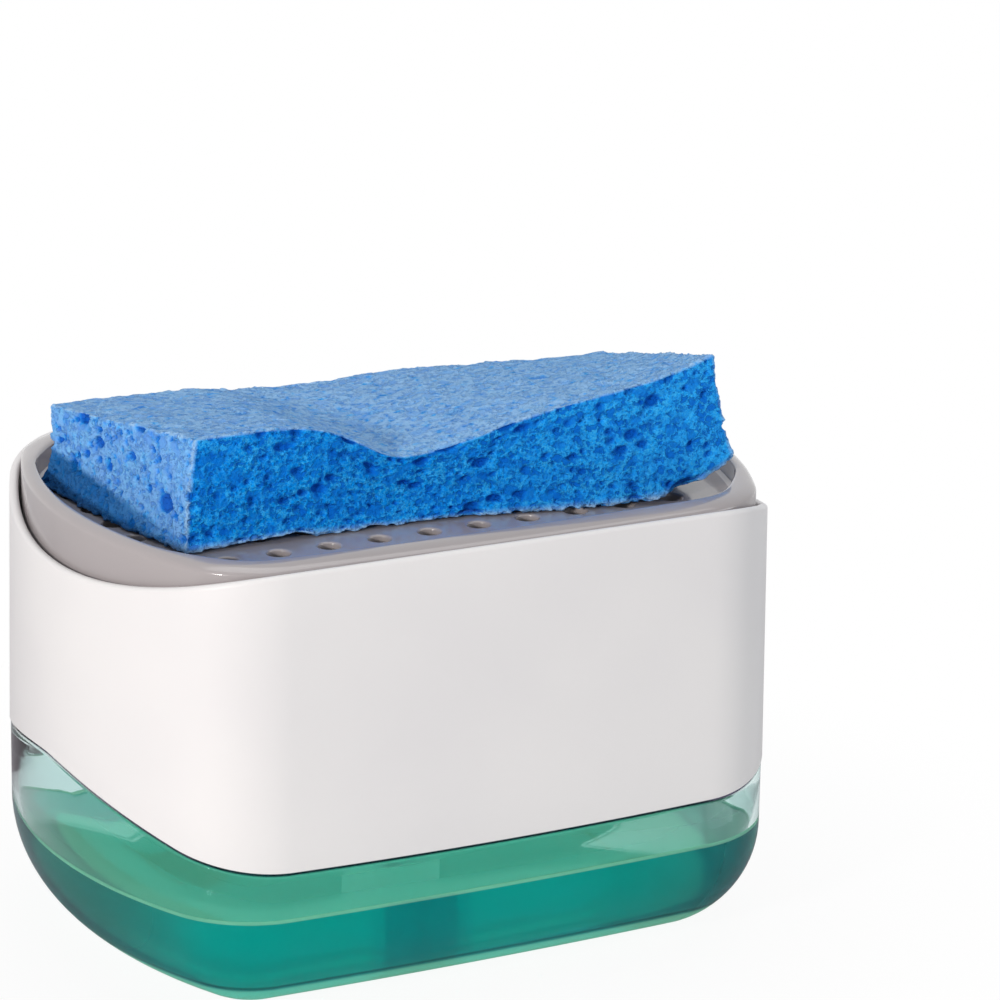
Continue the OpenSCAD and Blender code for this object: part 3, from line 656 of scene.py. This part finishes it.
def drain_places():
    """Centres of the drain holes: rows and columns on the pitch, clear of the socket in the middle and of
    the dish's edge and rounded corners."""
    inset = tray_inset + rim_side_w + dish_slope
    end_inset = tray_inset + rim_end_w + dish_slope
    margin = drain_r + drain_margin
    column = (np.arange(drain_columns) + 0.5) * drain_pitch
    row = np.arange(-drain_rows, drain_rows + 1) * drain_row_pitch
    x, y = (k.ravel() for k in np.meshgrid(np.concatenate([-column[::-1], column]), row))
    past = np.hypot(np.maximum(0, abs(x) - body_l / 2 + corner_r),
                    np.maximum(0, abs(y) - body_w / 2 + corner_r))
    good = (np.hypot(x, y) > middle_keep_r) & (past < corner_r - inset - margin)
    good &= abs(x) < reach(y, end_bow_r, body_l / 2, end_inset + margin)
    good &= abs(y) < reach(x, side_bow_r, body_w / 2, inset + margin)
    return np.column_stack([x, y])[good]


def flat_sheet(outlines, low, high, edge):
    """Points and faces of a flat sheet with holes: the outlines as a filled flat curve with thickness and
    rounded edges, made a mesh."""
    curve = bpy.data.curves.new("sheet", "CURVE")
    curve.dimensions = "2D"
    curve.fill_mode = "BOTH"
    curve.extrude = (high - low) / 2 - edge
    curve.bevel_depth = edge
    curve.bevel_resolution = 3
    curve.offset = -edge
    for outline in outlines:
        spline = curve.splines.new("POLY")
        spline.points.add(len(outline) - 1)
        flat = np.column_stack([outline, np.zeros(len(outline)), np.ones(len(outline))])
        spline.points.foreach_set("co", flat.ravel())
        spline.use_cyclic_u = True
    holder = bpy.data.objects.new("sheet", curve)
    bpy.context.scene.collection.objects.link(holder)
    mesh = bpy.data.meshes.new_from_object(holder.evaluated_get(bpy.context.evaluated_depsgraph_get()))
    points = np.empty(len(mesh.vertices) * 3)
    mesh.vertices.foreach_get("co", points)
    faces = [list(face.vertices) for face in mesh.polygons]
    bpy.data.objects.remove(holder)
    bpy.data.curves.remove(curve)
    bpy.data.meshes.remove(mesh)
    return points.reshape(-1, 3) + [0, 0, (low + high) / 2], faces


def rim_skin():
    """Up the skirt, over the rim's soft crown, down the dish's side and its small cove, and back inside the
    skirt. The crown is two quarter ellipses that meet past the middle of the rim's width."""
    turns = np.linspace(0, math.pi / 2, 11)
    outer, inner = body_plan(tray_inset), dish_plan(0)
    rings = [ring(outer, skirt_low)]
    for a in turns:
        share = rim_peak * (1 - math.cos(a))
        rings.append(ring(outer + (inner - outer) * share, rim_top - rim_crown * (1 - math.sin(a))))
    for a in turns[1:]:
        share = 1 - (1 - rim_peak) * (1 - math.sin(a))
        rings.append(ring(outer + (inner - outer) * share, rim_top - rim_crown_in * (1 - math.cos(a))))
    rings += [ring(dish_plan(dish_slope * cove_slope_share), dish_top + cove_top),
              ring(dish_plan(dish_slope + cove_w), dish_top + cove_h),
              ring(dish_plan(dish_slope + rim_lap), dish_top - rim_sink),
              ring(dish_plan(dish_slope + rim_lap), floor_low + floor_bite),
              ring(dish_plan(dish_slope), floor_low - ledge),
              ring(body_plan(tray_inset + skirt_wall), floor_low - ledge),
              ring(body_plan(tray_inset + skirt_wall), skirt_low)]
    return loft(rings, around=True)


def bar(x0, x1, y0, y1, z0, z1):
    """Points and faces of a straight rib."""
    plan = np.array([[x1, y0], [x1, y1], [x0, y1], [x0, y0]])
    return loft([ring(plan, z0), ring(plan, z1)], caps=True)


def circle(points):
    """Circle of radius 1 as that many points."""
    turns = np.arange(points) * 2 * math.pi / points
    return np.column_stack([np.cos(turns), np.sin(turns)])


def tray_skins():
    """Rim and skirt, perforated floor, the socket that sits over the pump's head, and four ribs."""
    hole = circle(drain_points)
    outline = dish_plan(dish_slope - floor_lap)
    holes = [centre + hole * drain_r for centre in drain_places()]
    floor = flat_sheet([outline, *holes, hole * nozzle_seat_r], floor_low, dish_top, drain_edge_r)
    disc = circle(socket_points)
    bite = floor_low + floor_bite
    socket = loft([ring(disc * socket_out_r, socket_low), ring(disc * socket_out_r, bite),
                   ring(disc * socket_in_r, bite), ring(disc * socket_in_r, socket_low)], around=True)
    rib_y = drain_row_pitch * rib_rows
    rib_x = drain_pitch * rib_columns
    inset = tray_inset + skirt_wall - rib_bite
    long_reach = reach(rib_y, end_bow_r, body_l / 2, inset)
    wide_reach = reach(rib_x, side_bow_r, body_w / 2, inset)
    ribs = []
    for side in (-1, 1):
        ribs.append(bar(-long_reach, long_reach, side * rib_y - rib_t / 2, side * rib_y + rib_t / 2,
                        rib_low, bite))
        ribs.append(bar(side * rib_x - rib_t / 2, side * rib_x + rib_t / 2, -wide_reach, wide_reach,
                        rib_low, bite))
    return [rim_skin(), floor, socket, *ribs]


tray_grey = seen(157, 151, 152)
tray_light_grey = seen(165, 159, 160)

grey_plastic = Finish("glossy_grey_plastic", IOR=1.5, Coat_Roughness=0.06)
grey_cloud = grey_plastic.fade(grey_plastic.clouds(35, 2.0), 0.3, 0.7)
grey_plastic.feed(
    Base_Color=grey_plastic.blend(grey_cloud, tray_grey, tray_light_grey),
    Roughness=0.13 + 0.08 * grey_plastic.clouds(9),
    Coat_Weight=0.3 + 0.2 * grey_plastic.clouds(25))
grey_plastic.bump(grey_plastic.clouds(5, 2.0), 0.02, 0.25)

tray = put_piece("drain_tray", tray_skins(), "tray", ["press_plate"])
tray.data.materials.append(grey_plastic.material)

# ---- Sponge ------------------------------------------------------------------------------------
# Cellulose sponge cut from a block: open pores of many sizes, a fibrous web between them, a dent in
# its front half, a thinner back, and a right end that curls up off the tray. It lies loose on the
# tray. The rim's shadow is painted on the foot of its left end, its pores are painted darker as shade,
# and its top and ends are painted paler as light, along with its frayed fibre.
sponge_l = 112.0
sponge_w = 51.0
sponge_t = 22.0
sponge_x = 1.0
sponge_y = 2.0
sponge_low = 85.0
sponge_edge_r = 0.9
sponge_cell = 0.32
dent_deep = 8.7
dent_x = -9.0
dent_w_left = 13.5
dent_w_right = 24.0
top_rise = 6.8
top_rise_from = 12.0
curl = 6.5
curl_from = 25.0
back_drop = 6.3
back_dent_share = 0.2
bow_forward = 10.0
bow_from = -12.0
lean_left = 2.0
lean_right = 5.5
lean_lost_at_back = 0.7
foot_spread = 2.2
foot_share = 0.45
end_skew = 3.0
side_hollow = 0.9
# Pores, one row a size: how far apart, how many places have one, least and greatest radius, depth,
# random draw, and how much longer and wider than high.
huge_pores = (8.0, 0.8, 1.2, 2.3, 2.0, 14, (1.6, 1.3, 1.0))
big_pores = (3.3, 0.9, 0.7, 1.5, 1.4, 11, (1.5, 1.2, 1.0))
middling_pores = (1.9, 0.9, 0.4, 0.95, 0.9, 12, (1.4, 1.1, 1.0))
fine_pores = (1.1, 0.9, 0.25, 0.5, 0.4, 13, (1.2, 1.0, 1.0))
deepest_pit = 2.6
full_pit = 1.2
# How much shallower pits are on top and at the left end, and how far the faces wave and tear.
top_calm = 0.72
left_calm = 0.1
top_wave = 0.5
face_wave = 0.14
face_grain = 0.1
torn_edge_w = 0.9
torn_fine = 0.3
torn_coarse = 0.4
low_front_h = 1.7
low_wave = 1.4
low_wave_up = 1.6
low_wave_back = 4.0


def ease(x, start):
    """Share of the way from start to the sponge's right end, 0 before it."""
    return np.maximum(0, x - start) / (sponge_x + sponge_l / 2 - start)


def sponge_shape(x, v, h):
    """Point at x along the sponge, v across it (-1 front, 1 back) and h up it (0 under, 1 on top). The top
    edge drops by a bell-shaped dent and rises towards the right end, the back is thinner, the middle
    line bows to the front at the right, the ends lean, and the left one spreads at its foot."""
    dent = dent_deep * np.exp(-((x - dent_x) / np.where(x < dent_x, dent_w_left, dent_w_right)) ** 2)
    front = sponge_t - dent + top_rise * ease(x, top_rise_from) ** 2
    rear = sponge_t - back_drop - back_dent_share * dent
    lift = curl * ease(x, curl_from) ** 3
    bow = ease(x, bow_from)
    middle = sponge_y - bow_forward * bow ** 2 * (3 - 2 * bow)
    s = (x - sponge_x) / (sponge_l / 2)
    share = (v + 1) / 2
    lean = np.where(s < 0, lean_left, lean_right) * (1 - lean_lost_at_back * share)
    top = front + (rear - front) * share
    low = lift * (1 - share)
    foot = foot_spread * np.clip(-s, 0, 1) ** 6 * np.clip(1 - h / foot_share, 0, 1) ** 2
    foot = foot * np.clip(2.5 * share, 0, 1)
    return np.stack([x - foot - s * abs(s) * lean * h - end_skew * v * (1 - s) / 2,
                     middle + v * (sponge_w / 2 - side_hollow * np.sin(math.pi * h)),
                     sponge_low + low + (top - low) * h], -1)


def block_lattice(cells):
    """Points on the surface of a block divided into cells, as whole-number triples, and the outward quads
    between them, each face a grid and the shared points merged by their number."""
    cells = np.array(cells)
    quads = []
    for axis in range(3):
        u, w = (axis + 1) % 3, (axis + 2) % 3
        a, b = np.meshgrid(np.arange(cells[u] + 1), np.arange(cells[w] + 1), indexing="ij")
        for end in (0, 1):
            sheet = np.zeros(a.shape + (3,), int)
            sheet[..., axis], sheet[..., u], sheet[..., w] = end * cells[axis], a, b
            code = sheet @ np.array([1, 1000, 1000000])
            quad = np.stack([code[:-1, :-1], code[1:, :-1], code[1:, 1:], code[:-1, 1:]], -1).reshape(-1, 4)
            quads.append(quad if end else quad[:, ::-1])
    codes, faces = np.unique(np.concatenate(quads), return_inverse=True)
    return np.stack([codes % 1000, codes // 1000 % 1000, codes // 1000000], 1), faces.reshape(-1, 4)


def hollows(points, size, chance, small, large, depth, seed, stretch):
    """How deep round pores cut in at each point: space is split into cubes of one size, a share of them
    hold one pore of a chance radius, and the deepest bowl that reaches a point counts. stretch
    lengthens the pores."""
    place = points / np.array(stretch) / size
    cell = np.floor(place).astype(int)
    low = cell.min(0) - 1
    dice = np.random.default_rng(seed).random(tuple(cell.max(0) - low + 2) + (5,))
    deepest = np.zeros(len(points))
    for step in np.ndindex(3, 3, 3):
        near = cell + np.array(step) - 1
        roll = dice[tuple((near - low).T)]
        radius = small + (large - small) * roll[:, 4] ** 2
        far = np.linalg.norm(place - near - roll[:, :3], axis=1) * size / radius
        bowl = np.clip(1 - far ** 2, 0, 1) ** 0.65 * np.minimum(depth, radius) * (roll[:, 3] < chance)
        deepest = np.maximum(deepest, bowl)
    return deepest


def drift(points, size, seed):
    """Smooth random values from -1 to 1 whose patches are size wide: chance values on a cubic lattice,
    blended between its corners."""
    place = points / size
    cell = np.floor(place).astype(int)
    part = place - cell
    part = part * part * (3 - 2 * part)
    low = cell.min(0)
    dice = np.random.default_rng(seed).random(tuple(cell.max(0) - low + 2)) * 2 - 1
    total = np.zeros(len(points))
    for step in np.ndindex(2, 2, 2):
        weight = np.prod(np.where(np.array(step), part, 1 - part), axis=1)
        total += weight * dice[tuple((cell - low + np.array(step)).T)]
    return total


def sponge_mesh():
    """Rounded block, swollen, roughened and pitted by pores along its own outward direction, then bent to
    the sponge's shape, with waves along its lower front edge. Also gives each point its share of pore
    depth, which the material paints as shade, and of paleness, which is most on top, on torn edges and at
    the left end: frayed fibre, and painted light on the top and the ends."""
    size = np.array([sponge_l, sponge_w, sponge_t])
    cells = np.round(size / sponge_cell).astype(int)
    lattice, faces = block_lattice(cells)
    flat = lattice * size / cells
    core = np.clip(flat, sponge_edge_r, size - sponge_edge_r)
    out = flat - core
    out /= np.linalg.norm(out, axis=1, keepdims=True)
    block = core + out * sponge_edge_r
    huge = hollows(block, *huge_pores)
    big = hollows(block, *big_pores)
    middling = hollows(block, *middling_pores)
    fine = hollows(block, *fine_pores)
    top = np.clip(out[:, 2], 0, 1)
    left = np.clip(-out[:, 0], 0, 1)
    right = np.clip(out[:, 0], 0, 1)
    calm = 1 - top_calm * top - left_calm * left
    pits = np.maximum(np.maximum(huge, big), middling) * calm + fine * (1 - 0.3 * top)
    swell = top_wave * (drift(block, 7.0, 21) - 1) * top + face_wave * drift(block, 2.2, 22)
    gap = np.sort(np.minimum(flat, size - flat), axis=1)[:, 1]
    edge = np.clip(1 - gap / torn_edge_w, 0, 1)
    grain = face_grain * drift(block, 0.5, 23)
    rough = grain + edge * (torn_fine * drift(block, 0.7, 25) + torn_coarse * drift(block, 1.6, 26))
    block = block + out * (swell + rough - np.minimum(pits, deepest_pit))[:, None]
    low_front = np.clip(1 - flat[:, 2] / low_front_h, 0, 1) * np.clip(-out[:, 1] + 0.3, 0, 1)
    # Paleness: frayed fibre on torn edges and the lower front, and painted light on top and at the ends.
    fray_and_lit = np.clip(0.9 * top + 0.55 * left + 0.3 * right + 0.6 * edge + 0.8 * low_front, 0, 1)
    x = sponge_x - sponge_l / 2 + block[:, 0]
    v = block[:, 1] / sponge_w * 2 - 1
    points = sponge_shape(x, v, block[:, 2] / sponge_t)
    wave = np.maximum(0, drift(np.column_stack([x, x * 0, x * 0]), 8.0, 24) + 0.1)
    height, depth = np.maximum(0, block[:, 2]), np.maximum(0, block[:, 1])
    points[:, 2] += low_wave * wave * np.exp(-height / low_wave_up - depth / low_wave_back)
    return points, faces, np.clip(pits / full_pit, 0, 1), fray_and_lit


sponge_points, sponge_faces, pore_share, fray_and_lit_share = sponge_mesh()
sponge = put_piece("sponge_block", [(sponge_points, sponge_faces.tolist())], "sponge", ["sponge"],
                   180)
keep_share(sponge, "pore", pore_share)
keep_share(sponge, "fray_and_lit", fray_and_lit_share)

sponge_blue = seen(0, 138, 242)
sponge_light_blue = seen(0, 154, 250)
# Painted light: paler towards the right end.
painted_lit_blue = seen(50, 176, 255)
thread_blue = seen(66, 190, 255)
# Painted shade in the open cells and in the deeper pores.
cell_shade_blue = seen(0, 102, 212)
pore_shade_blue = seen(0, 96, 200)
# Pale colour: frayed fibre, and painted light on top and at the ends.
frayed_and_lit_pale = seen(160, 202, 242)
# Painted shadow of the rim on the foot of the left end.
rim_shadow_blue = seen(0, 90, 158)
cell_wander = 2.2
# Painted light: where along the sponge it turns paler.
painted_lit_along = (-10, 60)
# Height and place of the rim's painted shadow.
rim_shadow_up = (89.5, 91.1)
rim_shadow_along = (-56, -50)

cellulose = Finish("blue_cellulose", Roughness=0.9, Specular_IOR_Level=0.1)
pore = cellulose.share("pore")
fray_and_lit = cellulose.share("fray_and_lit")
lengthways, across, up = (cellulose.along(axis) for axis in "xyz")
wander = (cellulose.clouds(1.2, 3.0, out=1) - (0.5, 0.5, 0.5)) * ((cell_wander / 1000,) * 3)
drawn_out = cellulose.node("ShaderNodeMapping", None,
                           {"Vector": cellulose.place + wander, "Scale": (0.7, 0.85, 1.0)})


def open_cells(size):
    """Open cells of many widths about size millimetres apart: 1 inside one and 0 on the walls between."""
    near = cellulose.node("ShaderNodeTexVoronoi", None, {"Vector": drawn_out, "Scale": 1000 / size})
    chance = cellulose.node("ShaderNodeSeparateColor", None,
                            {0: Wire(cellulose, near.socket.node.outputs["Color"])})
    return 1 - cellulose.fade(near - 0.5 * chance, -0.07, 0.1)


def fibres(size, width):
    """Thin winding threads: where soft noise passes its middle value."""
    return 1 - cellulose.fade(abs(cellulose.clouds(size, 3.0) - 0.5), 0.0, width)


cells = 0.65 * open_cells(2.4) | open_cells(1.4) | 0.8 * open_cells(0.8) | 0.35 * open_cells(0.45)
patchy = cellulose.fade(cellulose.clouds(3.0), 0.35, 0.65)
threads = (fibres(1.7, 0.04) | 0.8 * fibres(0.8, 0.07)) * (1 - 0.7 * cells)
# Paleness from frayed fibre and from painted light on top and at the ends, less in pits and cells.
pale = fray_and_lit * (1 - 0.9 * cellulose.fade(pore, 0.1, 0.6)) * (1 - 0.4 * cells)
pale = pale * cellulose.fade(cellulose.clouds(1.8), 0.2, 0.5)
# Painted shadow of the rim on the left end's foot, with a ragged edge.
rim_shadow_edge = up - 0.1 * across + 1.2 * cellulose.clouds(2.5)
painted_rim_shadow = (1 - cellulose.fade(rim_shadow_edge, *rim_shadow_up)) * (1 - cellulose.fade(lengthways, *rim_shadow_along))
tone = cellulose.blend(patchy, sponge_blue, sponge_light_blue)
# Painted light: paler towards the right end.
tone = cellulose.blend(0.4 * cellulose.fade(lengthways, *painted_lit_along), tone, painted_lit_blue)
tone = cellulose.blend(threads * (0.35 + 0.55 * patchy), tone, thread_blue)
# Open cells painted darker as shade, then deeper pits painted darker as shade.
tone = cellulose.blend(cells * (0.8 - 0.35 * fray_and_lit), tone, cell_shade_blue)
tone = cellulose.blend(cellulose.fade(pore, 0.2, 0.85), tone, pore_shade_blue)
# Frayed fibre and painted light make it paler.
tone = cellulose.blend(pale * 0.95, tone, frayed_and_lit_pale)
# The rim's painted shadow.
tone = cellulose.blend(painted_rim_shadow * 0.85, tone, rim_shadow_blue)
cellulose.feed(Base_Color=tone)
cellulose.bump(cellulose.clouds(0.5) - cells, 0.35, 0.9)
sponge.data.materials.append(cellulose.material)

# ---- Table, backdrop and light -----------------------------------------------------------------
# A white table in a white room, lit by a low lamp at the left front that throws the rim's shadow on the
# sponge, a broad one overhead and a weak one in front. The table keeps a faint shadow, and gloss shows
# it grey near the object and white far away, which gives the clear tank a crisp lower edge.
table_half = 3.0
table_steps = 5
table_sink = 0.0001
shadow_reach = (0.07, 0.16)
gloss_reach = (0.2, 0.5)
table_white = seen(246, 246, 246)
table_whiter = seen(248, 248, 248)
table_in_gloss = seen(150, 146, 153)
room_tint = (0.95, 0.97, 1.0)
room_light = 0.3
lamp_aim = (0, 0, 0.05)


def table_skin(half, steps):
    """Flat sheet of square cells, half its size each way from the middle."""
    line = np.linspace(-half, half, steps)
    x, y = np.meshgrid(line, line)
    points = np.column_stack([x.ravel(), y.ravel(), np.zeros(x.size)])
    i, j = np.meshgrid(np.arange(steps - 1), np.arange(steps - 1), indexing="ij")
    quads = np.stack([i * steps + j, i * steps + j + 1, (i + 1) * steps + j + 1, (i + 1) * steps + j], -1)
    return points, quads.reshape(-1, 4).tolist()


table_points, table_faces = table_skin(table_half, table_steps)
table_mesh = bpy.data.meshes.new("table")
table_mesh.from_pydata(table_points - [0, 0, table_sink], [], table_faces)
table = bpy.data.objects.new("table", table_mesh)
bpy.context.scene.collection.objects.link(table)
white_table = Finish("white_table", Roughness=0.6)
table_tone = white_table.blend(white_table.clouds(400), table_white, table_whiter)
white_table.feed(Base_Color=white_table.blend(white_table.rays("Glossy"), table_tone, table_in_gloss))
far = white_table.node("ShaderNodeVectorMath", {"operation": "LENGTH"}, {0: white_table.place}, "Value")
seen_white = white_table.rays("Camera", "Transmission") * (0.93 + 0.07 * white_table.fade(far, *shadow_reach))
seen_white = seen_white | white_table.rays("Glossy") * white_table.fade(far, *gloss_reach)
glow = white_table.node("ShaderNodeEmission", None, {"Color": (1.0, 1.0, 1.0), "Strength": 1.0})
white_table.put(white_table.out.inputs["Surface"],
                white_table.node("ShaderNodeMixShader", None, {0: seen_white, 1: white_table.plain, 2: glow}))
table_mesh.materials.append(white_table.material)

world = bpy.data.worlds.new("studio")
bpy.context.scene.world = world
world.use_nodes = True
room = Nodes(world.node_tree)
dim = room.node("ShaderNodeBackground", None, {"Color": room_tint, "Strength": room_light})
white = room.node("ShaderNodeBackground", None, {"Color": (1.0, 1.0, 1.0), "Strength": 1.0})
in_view = room.rays("Camera", "Glossy", "Transmission")
room.node("ShaderNodeOutputWorld", None,
          {"Surface": room.node("ShaderNodeMixShader", None, {0: in_view, 1: dim, 2: white})})


def soft_lamp(name, place, aim_at, size, power, colour=(1.0, 1.0, 1.0)):
    """Rectangular area lamp at place, facing aim_at; metres and watts."""
    lamp = bpy.data.lights.new(name, "AREA")
    lamp.shape = "RECTANGLE"
    lamp.size, lamp.size_y = size
    lamp.energy = power
    lamp.color = colour
    holder = bpy.data.objects.new(name, lamp)
    way = Vector(aim_at) - Vector(place)
    holder.matrix_world = Matrix.Translation(place) @ way.to_track_quat("-Z", "Y").to_matrix().to_4x4()
    bpy.context.scene.collection.objects.link(holder)


soft_lamp("overhead_lamp", (0.15, 0.1, 1.3), lamp_aim, (1.2, 1.0), 6.0)
soft_lamp("left_lamp", (-1.0, -0.575, 0.41), lamp_aim, (0.14, 0.14), 8.3, (1.0, 0.94, 0.905))
soft_lamp("right_lamp", (1.2, -0.9, 0.5), lamp_aim, (0.8, 0.6), 4.0, (0.97, 0.98, 1.0))
